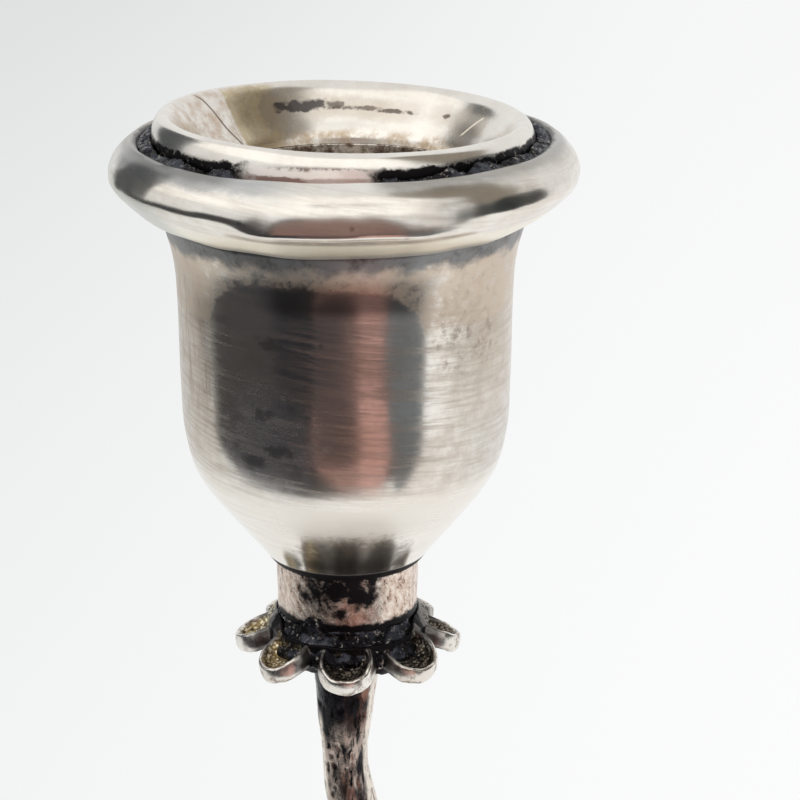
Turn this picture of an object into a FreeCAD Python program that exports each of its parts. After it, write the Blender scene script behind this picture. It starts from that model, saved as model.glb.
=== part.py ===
"""Silver candlestick with a flower socket on a curved stalk.

A lift-out candle nozzle stands in a bell-shaped socket cup with a heavy rim moulding. The cup rests on a
short collar and an eight-petalled calyx, on top of a cast stalk that bends gently and thickens towards a
round, weighted foot. One steel stud and nut hold the socket to the stalk, and a second pair holds the stalk
to the foot.

Units are millimetres. The origin is the centre of the underside, on the axis of the socket, with +Z up.
"""

import FreeCAD
import Part

import math
import os

from FreeCAD import Vector

# ---------------------------------------------------------------- driving dimensions

TOTAL_HEIGHT = 180.0  # underside of the pad to the crest of the nozzle's lip
FOOT_DIAMETER = 92.0  # across the foot's edge moulding
CANDLE_BORE_RADIUS = 11.2  # for a 22 mm household candle
SHEET = 1.0  # silver sheet of the socket cup and the foot
CLEARANCE = 0.15  # radial play of the lift-out nozzle in the cup's mouth
PETALS = 8

# Heights on the axis, from the lip down.
SEAT_Z = TOTAL_HEIGHT - 2.4  # the nozzle's flange rests on the socket's rim here
CUP_BOTTOM_Z = SEAT_Z - 36.4
COLLAR_BOTTOM_Z = CUP_BOTTOM_Z - 5.7
CALYX_BOTTOM_Z = COLLAR_BOTTOM_Z - 3.0  # the top of the stalk

# Heights on the axis, from the table up.
PAD_THICKNESS = 1.6
PLATE_TOP_Z = PAD_THICKNESS + 1.0
DOME_TOP_Z = 21.0
ROSETTE_THICKNESS = 2.4
STALK_BOTTOM_Z = DOME_TOP_Z + ROSETTE_THICKNESS

# Radii shared by parts that meet.
CUP_MOUTH_RADIUS = 14.2
CUP_NECK_RADIUS = 15.45  # outside of the cup, where the rim moulding grips it
CUP_BOTTOM_RADIUS = 6.75
SLEEVE_WALL = 0.8
SOCKET_STUD_RADIUS = 1.5
FOOT_STUD_RADIUS = 2.5
STUD_PLAY = 0.1
FOOT_EDGE_RADIUS = FOOT_DIAMETER / 2 - 4.0  # outside of the foot shell's upright edge
CALYX_BOSS_RADIUS = 4.3
STALK_FOOT_RADIUS = 5.8
FOOT_NECK_RADIUS = 8.2

# ---------------------------------------------------------------- drawing helpers


def in_profile(radius, height):
    """A point of a turned part's profile: radius along X, height along Z."""
    return Vector(radius, 0, height)


def spline(points):
    """The smooth curve through these profile points."""
    curve = Part.BSplineCurve()
    curve.interpolate([in_profile(*p) for p in points])
    return curve


def outline(*steps):
    """A closed profile face. A plain point is reached by a straight line, ("arc", middle, end) by an arc
    and ("spline", points) by a smooth curve through them all."""
    start = steps[0]
    at = start
    edges = []
    for step in [*steps[1:], start]:
        if step[0] == "arc":
            edges.append(Part.Arc(in_profile(*at), in_profile(*step[1]), in_profile(*step[2])).toShape())
            at = step[2]
        elif step[0] == "spline":
            edges.append(spline([at, *step[1]]).toShape())
            at = step[1][-1]
        elif math.dist(at, step) > 1e-6:
            edges.append(Part.LineSegment(in_profile(*at), in_profile(*step)).toShape())
            at = step
    return Part.Face(Part.Wire(edges))


def turned(*steps):
    """A solid of revolution about the Z axis."""
    return outline(*steps).revolve(Vector(0, 0, 0), Vector(0, 0, 1), 360)


def inside_of(points, thickness):
    """The inner face of a sheet whose outer face runs down through these points."""
    curve = spline(points)
    moved = []
    for point in points:
        tangent = curve.tangent(curve.parameter(in_profile(*point)))[0]
        moved.append((point[0] + tangent.z * thickness, point[1] - tangent.x * thickness))
    return moved


def disc(radius, bottom, top, hole=0.0):
    """A flat round plate, with or without a centre hole."""
    plate = Part.makeCylinder(radius, top - bottom, Vector(0, 0, bottom))
    if hole:
        plate = plate.cut(Part.makeCylinder(hole, top - bottom, Vector(0, 0, bottom)))
    return plate


def hexagonal_nut(across_flats, bottom, top, hole):
    """A plain hexagonal nut with its corners turned off at the top."""
    corner = across_flats / math.sqrt(3)
    angles = [math.radians(60 * i) for i in range(6)]
    corners = [Vector(corner * math.cos(a), corner * math.sin(a), bottom) for a in angles]
    prism = Part.Face(Part.makePolygon([*corners, corners[0]])).extrude(Vector(0, 0, top - bottom))
    height = top - bottom
    chamfer = Part.makeCone(corner + height, corner - 0.5, height + 0.5, Vector(0, 0, bottom))
    return prism.common(chamfer).cut(Part.makeCylinder(hole, height, Vector(0, 0, bottom)))


# ---------------------------------------------------------------- the lift-out nozzle

FUNNEL_BOTTOM_Z = SEAT_Z - 2.5
SLEEVE_BOTTOM_Z = SEAT_Z - 25.5
LIP_RADIUS = 16.05


def nozzle_flange():
    """A rolled lip whose inside runs down as a funnel into the candle sleeve. A short spigot centres it."""
    sleeve_outside = CANDLE_BORE_RADIUS + SLEEVE_WALL
    spigot = CUP_MOUTH_RADIUS - CLEARANCE
    return turned(
        (CANDLE_BORE_RADIUS, FUNNEL_BOTTOM_Z),
        ("spline", [(11.4, SEAT_Z - 1.8), (12.4, SEAT_Z - 0.5), (13.6, SEAT_Z + 1.1), (14.4, SEAT_Z + 2.05),
                    (15.2, SEAT_Z + 2.4), (15.85, SEAT_Z + 2.05), (LIP_RADIUS, SEAT_Z + 1.4)]),
        (LIP_RADIUS, SEAT_Z),
        (spigot, SEAT_Z),
        (spigot, SEAT_Z - 1.3),
        (sleeve_outside, FUNNEL_BOTTOM_Z),
    )


def nozzle_sleeve():
    """The tube that grips the candle."""
    return disc(CANDLE_BORE_RADIUS + SLEEVE_WALL, SLEEVE_BOTTOM_Z, FUNNEL_BOTTOM_Z, CANDLE_BORE_RADIUS)


def nozzle_floor():
    """The disc that closes the sleeve, so that wax stays in it."""
    return disc(CANDLE_BORE_RADIUS + SLEEVE_WALL, SLEEVE_BOTTOM_Z - SLEEVE_WALL, SLEEVE_BOTTOM_Z)


# ---------------------------------------------------------------- the socket

MOULDING_BOTTOM_Z = SEAT_Z - 6.0
BEAD_NOSE_RADIUS = 19.8
BEAD_NOSE_Z = SEAT_Z - 2.2


def rim_moulding():
    """The heavy bead round the cup's mouth, with a groove between it and the nozzle's lip."""
    return turned(
        (CUP_NECK_RADIUS, MOULDING_BOTTOM_Z),
        ("spline", [(16.8, SEAT_Z - 5.33), (17.9, SEAT_Z - 4.52), (18.9, SEAT_Z - 3.6), (19.58, SEAT_Z - 2.8),
                    (BEAD_NOSE_RADIUS, BEAD_NOSE_Z), (19.5, SEAT_Z - 1.05), (18.65, SEAT_Z),
                    (17.75, SEAT_Z + 0.6)]),
        ("arc", (17.35, SEAT_Z + 0.5), (17.2, SEAT_Z + 0.15)),
        (17.1, SEAT_Z),
        (CUP_NECK_RADIUS, SEAT_Z),
    )


CUP_PROFILE = [
    (CUP_NECK_RADIUS, MOULDING_BOTTOM_Z),
    (14.75, SEAT_Z - 9.2),
    (14.35, SEAT_Z - 13.5),
    (14.22, SEAT_Z - 20.5),
    (14.05, SEAT_Z - 24.5),
    (13.3, SEAT_Z - 27.7),
    (10.5, SEAT_Z - 32.0),
    (CUP_BOTTOM_RADIUS, CUP_BOTTOM_Z),
]


def socket_cup():
    """The bell-shaped shell. Its plain mouth runs up inside the rim moulding, and its floor is flat."""
    inner = inside_of(CUP_PROFILE, SHEET)
    floor_z = CUP_BOTTOM_Z + SHEET
    inner_down = [*inner[1:-1], (inner[-1][0], floor_z)]
    return turned(
        (CUP_MOUTH_RADIUS, SEAT_Z),
        (CUP_NECK_RADIUS, SEAT_Z),
        CUP_PROFILE[0],
        ("spline", CUP_PROFILE[1:]),
        (SOCKET_STUD_RADIUS + STUD_PLAY, CUP_BOTTOM_Z),
        (SOCKET_STUD_RADIUS + STUD_PLAY, floor_z),
        inner_down[-1],
        ("spline", [*inner_down[-2::-1], (CUP_MOUTH_RADIUS, MOULDING_BOTTOM_Z - 0.3)]),
    )


def cup_collar():
    """The short tube between the cup and the calyx, a little waisted."""
    return turned(
        (5.2, CUP_BOTTOM_Z),
        (6.4, CUP_BOTTOM_Z),
        ("spline", [(6.25, CUP_BOTTOM_Z - 2.6), (6.2, COLLAR_BOTTOM_Z)]),
        (5.2, COLLAR_BOTTOM_Z),
    )


def socket_washer():
    """The round washer on the cup's floor."""
    return disc(4.6, CUP_BOTTOM_Z + SHEET, CUP_BOTTOM_Z + SHEET + 0.7, SOCKET_STUD_RADIUS + STUD_PLAY)


def socket_nut():
    """The nut that clamps cup, collar and calyx down on the stalk."""
    bottom = CUP_BOTTOM_Z + SHEET + 0.7
    return hexagonal_nut(5.5, bottom, bottom + 2.4, SOCKET_STUD_RADIUS)


SOCKET_STUD_BOTTOM_Z = CALYX_BOTTOM_Z - 5.4


def socket_stud():
    """The steel stud that is screwed into the stalk's top and runs up through the socket's floor."""
    return disc(SOCKET_STUD_RADIUS, SOCKET_STUD_BOTTOM_Z, CUP_BOTTOM_Z + SHEET + 4.2)


# ---------------------------------------------------------------- petals


def cap(radius, height):
    """A spherical cap that stands on the plane Z = 0."""
    ball = (radius ** 2 + height ** 2) / (2 * height)
    return Part.makeSphere(ball, Vector(0, 0, height - ball)).common(Part.makeCylinder(radius, height))


def scooped_petal(radius, thickness, depth, rim):
    """A thick round petal with a dished top, and the centre of its rim at the origin."""
    dish = cap(radius - rim, depth)
    dish.rotate(Vector(0, 0, 0), Vector(1, 0, 0), 180)
    return Part.makeCylinder(radius, thickness, Vector(0, 0, -thickness)).cut(dish)


def domed_petal(radius, thickness, height):
    """A thick round petal with a domed top."""
    return Part.makeCylinder(radius, thickness, Vector(0, 0, -thickness)).fuse(cap(radius, height))


def ring_of_petals(shape, at_radius, at_height, tilt):
    """Copies of a petal round the axis, the first at the front, each tipped down and outwards."""
    copies = []
    for i in range(PETALS):
        copy = shape.copy()
        copy.rotate(Vector(0, 0, 0), Vector(0, 1, 0), tilt)
        copy.translate(Vector(at_radius, 0, at_height))
        copy.rotate(Vector(0, 0, 0), Vector(0, 0, 1), -90 + 360 / PETALS * i)
        copies.append(copy)
    return copies


def calyx():
    """A thick disc with eight scooped petals round it, drooping a little."""
    top = COLLAR_BOTTOM_Z
    plate = turned(
        (SOCKET_STUD_RADIUS + STUD_PLAY, top),
        (6.6, top),
        (7.5, top - 1.0),
        (7.5, top - 2.2),
        (CALYX_BOSS_RADIUS + 0.6, CALYX_BOTTOM_Z),
        (SOCKET_STUD_RADIUS + STUD_PLAY, CALYX_BOTTOM_Z),
    )
    petal = scooped_petal(radius=2.45, thickness=1.3, depth=1.0, rim=0.3)
    petals = ring_of_petals(petal, at_radius=8.1, at_height=top - 2.0, tilt=27)
    return plate.multiFuse(petals).removeSplitter()


def foot_rosette():
    """Eight wider domed petals where the stalk meets the foot."""
    plate = turned(
        (FOOT_STUD_RADIUS + STUD_PLAY, DOME_TOP_Z),
        (FOOT_NECK_RADIUS, DOME_TOP_Z),
        (FOOT_NECK_RADIUS + 1.0, DOME_TOP_Z + 0.9),
        (FOOT_NECK_RADIUS, DOME_TOP_Z + ROSETTE_THICKNESS),
        (FOOT_STUD_RADIUS + STUD_PLAY, DOME_TOP_Z + ROSETTE_THICKNESS),
    )
    petal = domed_petal(radius=4.0, thickness=0.8, height=1.2)
    petals = ring_of_petals(petal, at_radius=10.8, at_height=DOME_TOP_Z + 0.6, tilt=24)
    return plate.multiFuse(petals).removeSplitter()


# ---------------------------------------------------------------- the stalk

# Height, sideways bend along X, and radius.
STALK_SECTIONS = [
    (CALYX_BOTTOM_Z, 0.0, CALYX_BOSS_RADIUS),
    (CALYX_BOTTOM_Z - 1.6, -0.06, 3.35),
    (CALYX_BOTTOM_Z - 4.0, -0.18, 2.85),
    (CALYX_BOTTOM_Z - 8.0, -0.32, 2.42),
    (CALYX_BOTTOM_Z - 12.2, -0.35, 2.07),
    (CALYX_BOTTOM_Z - 16.0, 0.2, 2.25),
    (CALYX_BOTTOM_Z - 25.0, 2.1, 2.45),
    (CALYX_BOTTOM_Z - 40.0, 4.9, 2.65),
    (CALYX_BOTTOM_Z - 57.0, 6.2, 2.95),
    (CALYX_BOTTOM_Z - 74.0, 4.8, 3.3),
    (CALYX_BOTTOM_Z - 90.0, 2.0, 3.7),
    (CALYX_BOTTOM_Z - 101.0, 0.5, 4.25),
    (STALK_BOTTOM_Z + 2.0, 0.05, 5.1),
    (STALK_BOTTOM_Z, 0.0, STALK_FOOT_RADIUS),
]


def stalk():
    """The cast stalk: round sections along a gentle bend, blind-tapped at both ends."""
    rings = []
    for height, along_x, radius in STALK_SECTIONS:
        circle = Part.Circle(Vector(along_x, 0, height), Vector(0, 0, 1), radius)
        rings.append(Part.Wire(circle.toShape()))
    body = Part.makeLoft(rings, True, False)
    top_hole = disc(SOCKET_STUD_RADIUS, SOCKET_STUD_BOTTOM_Z, CALYX_BOTTOM_Z)
    foot_hole = disc(FOOT_STUD_RADIUS, STALK_BOTTOM_Z, FOOT_STUD_TOP_Z)
    return body.cut(top_hole).cut(foot_hole)


# ---------------------------------------------------------------- the foot

FOOT_STUD_TOP_Z = STALK_BOTTOM_Z + 7.0
EDGE_TOP_Z = 6.6
DOME_PROFILE = [
    (FOOT_NECK_RADIUS, DOME_TOP_Z),
    (FOOT_NECK_RADIUS + 1.8, 18.6),
    (FOOT_NECK_RADIUS + 6.5, 16.2),
    (FOOT_EDGE_RADIUS - 20.0, 14.3),
    (FOOT_EDGE_RADIUS - 12.0, 12.5),
    (FOOT_EDGE_RADIUS - 5.0, 10.6),
    (FOOT_EDGE_RADIUS - 1.3, 8.6),
    (FOOT_EDGE_RADIUS, EDGE_TOP_Z),
]


def foot_dome():
    """The raised shell of the foot: a neck with a flat top, a low dome and an upright edge."""
    ceiling_z = DOME_TOP_Z - SHEET
    inside_edge = FOOT_EDGE_RADIUS - SHEET
    inner = inside_of(DOME_PROFILE, SHEET)
    return turned(
        (FOOT_STUD_RADIUS + STUD_PLAY, ceiling_z),
        (FOOT_STUD_RADIUS + STUD_PLAY, DOME_TOP_Z),
        DOME_PROFILE[0],
        ("spline", DOME_PROFILE[1:]),
        (FOOT_EDGE_RADIUS, PAD_THICKNESS),
        (inside_edge, PAD_THICKNESS),
        (inside_edge, EDGE_TOP_Z),
        ("spline", [*inner[-2:0:-1], (FOOT_NECK_RADIUS - SHEET, ceiling_z)]),
    )


def foot_moulding():
    """The bead round the foot's edge, a smaller copy of the rim's."""
    edge = FOOT_EDGE_RADIUS
    return turned(
        (edge, 0.8),
        ("spline", [(edge + 1.9, 1.0), (edge + 3.4, 1.9), (edge + 4.0, 3.4), (edge + 3.5, 5.0),
                    (edge + 2.3, 6.1), (edge + 1.5, 6.3)]),
        ("arc", (edge + 1.1, 6.15), (edge + 1.0, 5.8)),
        (edge, 5.8),
    )


BALLAST_BOTTOM_Z = PLATE_TOP_Z + 0.6
BALLAST_TOP_Z = BALLAST_BOTTOM_Z + 5.2
NUT_WELL_RADIUS = 6.4
NUT_WELL_TOP_Z = BALLAST_BOTTOM_Z + 4.6


def ballast():
    """The cast-iron weight. Its hub carries the pull of the stud up to the dome's flat top."""
    hub = NUT_WELL_RADIUS + 0.4
    return turned(
        (NUT_WELL_RADIUS, BALLAST_BOTTOM_Z),
        (FOOT_EDGE_RADIUS - 5.0, BALLAST_BOTTOM_Z),
        (FOOT_EDGE_RADIUS - 5.0, BALLAST_TOP_Z - 1.6),
        (FOOT_EDGE_RADIUS - 6.6, BALLAST_TOP_Z),
        (hub + 3.0, BALLAST_TOP_Z),
        (hub, BALLAST_TOP_Z + 3.0),
        (hub, DOME_TOP_Z - SHEET - 0.6),
        (hub - 0.6, DOME_TOP_Z - SHEET),
        (FOOT_STUD_RADIUS + STUD_PLAY, DOME_TOP_Z - SHEET),
        (FOOT_STUD_RADIUS + STUD_PLAY, NUT_WELL_TOP_Z),
        (NUT_WELL_RADIUS, NUT_WELL_TOP_Z),
    )


def foot_washer():
    """The washer in the ballast's nut well."""
    return disc(5.4, NUT_WELL_TOP_Z - 0.9, NUT_WELL_TOP_Z, FOOT_STUD_RADIUS + STUD_PLAY)


def foot_nut():
    """The nut that holds foot and stalk together."""
    return hexagonal_nut(8.0, NUT_WELL_TOP_Z - 3.9, NUT_WELL_TOP_Z - 0.9, FOOT_STUD_RADIUS)


def foot_stud():
    """The steel stud from the nut up into the stalk's foot."""
    return disc(FOOT_STUD_RADIUS, NUT_WELL_TOP_Z - 4.4, FOOT_STUD_TOP_Z)


def foot_plate():
    """The thin plate that closes the foot from below."""
    return disc(FOOT_EDGE_RADIUS - SHEET, PAD_THICKNESS, PLATE_TOP_Z)


def base_pad():
    """The felt disc that the candlestick stands on."""
    return disc(FOOT_EDGE_RADIUS - 0.4, 0.0, PAD_THICKNESS)


# ---------------------------------------------------------------- output

SUBPARTS = [
    nozzle_flange, nozzle_sleeve, nozzle_floor,
    rim_moulding, socket_cup, cup_collar, socket_washer, socket_nut, socket_stud, calyx,
    stalk, foot_rosette, foot_dome, foot_moulding, ballast, foot_washer, foot_nut, foot_stud, foot_plate,
    base_pad,
]


def main():
    os.makedirs("parts", exist_ok=True)
    for make in SUBPARTS:
        shape = make()
        if not shape.isValid() or len(shape.Solids) != 1:
            print("check", make.__name__, "valid:", shape.isValid(), "solids:", len(shape.Solids))
        shape.exportStep(f"parts/{make.__name__}.step")


main()
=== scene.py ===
"""Looks of the silver candlestick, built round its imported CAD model.

Each visible CAD solid is replaced by a finer piece of its size, in its place. Lengths are in
millimetres until a mesh is finished. Heights of the socket's parts count from the seat, the flat top of the
cup that the lift-out nozzle rests on. The front is -Y and the right is +X.
"""

import math

import bmesh
import bpy
from mathutils import Matrix, Vector, noise


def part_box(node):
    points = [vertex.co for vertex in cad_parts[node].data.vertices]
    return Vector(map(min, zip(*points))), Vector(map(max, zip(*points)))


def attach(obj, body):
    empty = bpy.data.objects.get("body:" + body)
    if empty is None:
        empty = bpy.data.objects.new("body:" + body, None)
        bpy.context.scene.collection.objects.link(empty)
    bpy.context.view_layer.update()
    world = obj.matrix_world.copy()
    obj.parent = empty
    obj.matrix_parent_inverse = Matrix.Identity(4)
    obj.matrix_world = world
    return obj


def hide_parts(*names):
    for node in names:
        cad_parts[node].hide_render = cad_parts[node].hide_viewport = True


MM = 0.001

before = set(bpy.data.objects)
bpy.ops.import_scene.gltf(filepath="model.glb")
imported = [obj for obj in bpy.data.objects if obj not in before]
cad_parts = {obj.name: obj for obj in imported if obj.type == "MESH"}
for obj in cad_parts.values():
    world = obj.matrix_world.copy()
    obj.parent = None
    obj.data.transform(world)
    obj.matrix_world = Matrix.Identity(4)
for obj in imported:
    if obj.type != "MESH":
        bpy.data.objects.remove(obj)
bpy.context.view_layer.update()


def top_of(node):
    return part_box(node)[1].z / MM


def bottom_of(node):
    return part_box(node)[0].z / MM


def radius_of(node):
    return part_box(node)[1].x / MM


# ---------------------------------------------------------------- sizes

SEAT = top_of("socket_cup")
BORE = 11.2  # inner radius of the sleeve that grips the candle
SLEEVE = radius_of("nozzle_sleeve")
LIP = 16.05  # outer radius of the nozzle's lip
BEAD = radius_of("rim_moulding")
CUP_BOTTOM = bottom_of("socket_cup")
COLLAR_BOTTOM = bottom_of("cup_collar")
CALYX_BOSS = top_of("stalk") - bottom_of("cup_collar")
STALK_TOP = top_of("stalk")
STALK_BOTTOM = bottom_of("stalk")
DOME_TOP = top_of("foot_dome")
FOOT_EDGE = radius_of("foot_dome")
PAD_TOP = top_of("base_pad")
CUP_RIM = 15.45  # outer radius of the bell under the moulding
BEAD_BOTTOM = -6.0
COLLAR_INSIDE = 5.2
STUD_HOLE = 1.6
STALK_HOLE = 2.6
DOME_HEIGHT = 14.4
EDGE_TOP = 5.8  # height of the foot moulding where it meets the dome
PETALS = 8
WELD = 0.001

# Bearings are in degrees to the right of the front, unless they are said to count from the back.
SEAM_BEARING = -51.0  # from the back, where the funnel's seam starts at the bore
CLEAN_LEFT = -29.0  # the front arc of the groove that is rubbed clean
CLEAN_RIGHT = 9.5
CRUST_ENDS = (48, 72)  # the solder crust thins out between these, on both sides

# ---------------------------------------------------------------- curves


def smooth(points, step=0.3):
    """Points about one step apart along a smooth curve through these points, with the last one left out."""
    vectors = [Vector(p) for p in points]
    padded = [2 * vectors[0] - vectors[1], *vectors, 2 * vectors[-1] - vectors[-2]]
    line = []
    for a, b, c, d in zip(padded, padded[1:], padded[2:], padded[3:]):
        t1 = (b - a).length ** 0.5
        t2 = t1 + (c - b).length ** 0.5
        t3 = t2 + (d - c).length ** 0.5
        count = max(1, round((c - b).length / step))
        for i in range(count):
            t = t1 + (t2 - t1) * i / count
            ab = a.lerp(b, t / t1)
            bc = b.lerp(c, (t - t1) / (t2 - t1))
            cd = c.lerp(d, (t - t2) / (t3 - t2))
            line.append(ab.lerp(bc, t / t2).lerp(bc.lerp(cd, (t - t1) / (t3 - t1)), (t - t1) / (t2 - t1)))
    return line


def rounded(points, radius=0.15):
    """A path of straight runs with its inner corners rounded."""
    steps = 3
    vectors = [Vector(p) for p in points]
    line = [vectors[0]]
    for before, corner, after in zip(vectors, vectors[1:], vectors[2:]):
        reach = min(radius, (before - corner).length / 2, (after - corner).length / 2)
        start = corner + (before - corner).normalized() * reach
        end = corner + (after - corner).normalized() * reach
        for i in range(steps + 1):
            t = i / steps
            line.append(start.lerp(corner, t).lerp(corner.lerp(end, t), t))
    line.append(vectors[-1])
    return line


def above(level, points):
    """Points given as (radius, height above a level) in the row frame."""
    return [(radius, level + height) for radius, height in points]


def inside_of(points, thickness):
    """The inner face of a sheet whose outer face runs down through these points."""
    vectors = [Vector(p) for p in points]
    moved = []
    for before, here, after in zip([vectors[0], *vectors], vectors, [*vectors[1:], vectors[-1]]):
        along = (after - before).normalized()
        moved.append((here.x + along.y * thickness, here.y - along.x * thickness))
    return moved


def ease(value, low, high):
    """0 at low and beyond it, 1 at high and beyond it, and smooth between. low may be the larger."""
    t = min(1.0, max(0.0, (value - low) / (high - low)))
    return t * t * (3 - 2 * t)


# ---------------------------------------------------------------- meshes


def new_object(name, mesh):
    made = bpy.data.objects.new(name, mesh)
    bpy.context.scene.collection.objects.link(made)
    return made


def right_of_front(angle):
    """Degrees to the right of the front, -180 to 180, for an angle about the Z axis in radians."""
    return (math.degrees(angle) + 270) % 360 - 180


def bridge(mesh, rings):
    """Faces between each ring of points and the next."""
    for low, high in zip(rings, rings[1:]):
        for i in range(len(low)):
            j = (i + 1) % len(low)
            mesh.faces.new((low[i], low[j], high[j], high[i]))


def add_turned(mesh, profile, segments=240, shape=None, extra_angles=()):
    """Adds a closed surface turned about the Z axis. shape(radius, height, angle) may move each point."""
    angles = sorted([*(2 * math.pi * i / segments for i in range(segments)), *extra_angles])
    rings = []
    for radius, height in profile:
        ring = []
        for angle in angles:
            r, z = shape(radius, height, angle) if shape else (radius, height)
            ring.append(mesh.verts.new((r * math.cos(angle), r * math.sin(angle), z)))
        rings.append(ring)
    bridge(mesh, [*rings, rings[0]])


def turned(name, profile, segments=240, shape=None, extra_angles=()):
    mesh = bmesh.new()
    add_turned(mesh, profile, segments, shape, extra_angles)
    return settled(name, mesh)


def settled(name, mesh):
    """The finished object of a mesh made in millimetres."""
    bmesh.ops.remove_doubles(mesh, verts=mesh.verts, dist=WELD)
    bmesh.ops.dissolve_degenerate(mesh, edges=mesh.edges, dist=WELD)
    bmesh.ops.recalc_face_normals(mesh, faces=mesh.faces)
    data = bpy.data.meshes.new(name)
    mesh.to_mesh(data)
    mesh.free()
    return new_object(name, data)


def fused(made, voxel, smoothing):
    """Joins the overlapping shells of an object into one skin."""
    remesh = made.modifiers.new("fuse", "REMESH")
    remesh.mode = "VOXEL"
    remesh.voxel_size = voxel
    soften = made.modifiers.new("soften", "SMOOTH")
    soften.factor = 0.5
    soften.iterations = smoothing
    graph = bpy.context.evaluated_depsgraph_get()
    data = bpy.data.meshes.new_from_object(made.evaluated_get(graph))
    made.modifiers.clear()
    made.data = data
    return made


def roughened(made, move):
    """Moves each point along its normal by move(place), in millimetres."""
    normals = [v.normal.copy() for v in made.data.vertices]
    for vertex, normal in zip(made.data.vertices, normals):
        vertex.co += normal * move(vertex.co)
    return made


def marked(made, name, values):
    """Stores a value on each point, for a material to read."""
    made.data.attributes.new(name, "FLOAT", "POINT").data.foreach_set("value", values)
    return made


def placed(made, body, slot, material, *nodes, sharp=40):
    """Shades a piece, brings it to metres, gives it its body and its finish, and hides the nodes it stands for.
    """
    made.data.transform(Matrix.Scale(MM, 4))
    made.data.polygons.foreach_set("use_smooth", [True] * len(made.data.polygons))
    made.data.set_sharp_from_angle(angle=math.radians(sharp))
    made.data.materials.clear()
    made.data.materials.append(material)
    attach(made, body)
    if nodes:
        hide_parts(*nodes)
    return made


def uneven(amount, size, seed=0.0):
    """The slight unevenness of hand work: it moves a profile's points by up to about the amount."""

    def move(radius, height, angle):
        place = Vector((radius * math.cos(angle), radius * math.sin(angle), height + seed)) / size
        elsewhere = place + Vector((9.0, 4.0, 2.0))
        return radius + amount * noise.noise(place), height + amount * noise.noise(elsewhere)

    return move


# ---------------------------------------------------------------- materials

# The Mix node's sockets: first value, second value, result.
MIX_COLOURS = (6, 7, 2)
MIX_NUMBERS = (2, 3, 0)


def tone(red, green, blue):
    """A colour from its eight-bit display values."""
    channels = [c / 255 for c in (red, green, blue)]
    return [c / 12.92 if c <= 0.04045 else ((c + 0.055) / 1.055) ** 2.4 for c in channels] + [1.0]


def fill(node, values):
    """Sets inputs of a node that nothing is linked to."""
    for name, value in values.items():
        node.inputs[name].default_value = value


class Value:
    """A number or a colour that a material works out. Arithmetic on a number adds Math nodes."""

    def __init__(self, recipe, socket):
        self.recipe = recipe
        self.socket = socket

    def __add__(self, other):
        return self.recipe.math("ADD", self, other)

    def __sub__(self, other):
        return self.recipe.math("SUBTRACT", self, other)

    def __rsub__(self, other):
        return self.recipe.math("SUBTRACT", other, self)

    def __mul__(self, other):
        return self.recipe.math("MULTIPLY", self, other)

    def __pow__(self, other):
        return self.recipe.math("POWER", self, other)

    def __abs__(self):
        return self.recipe.math("ABSOLUTE", self)

    def step(self, low, high):
        """0 at low and beyond it, 1 at high and beyond it, and smooth between. low may be the larger."""
        made = self.recipe.node("ShaderNodeMapRange", interpolation_type="SMOOTHSTEP")
        self.recipe.feed(made.inputs["Value"], self)
        flipped = low > high
        fill(made, {"From Min": min(low, high), "From Max": max(low, high)})
        fill(made, {"To Min": 1.0 if flipped else 0.0, "To Max": 0.0 if flipped else 1.0})
        return Value(self.recipe, made.outputs["Result"])

    def window(self, low, high, soft):
        """1 between low and high, with soft edges."""
        return self.step(low - soft, low + soft) * self.step(high + soft, high - soft)


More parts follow.
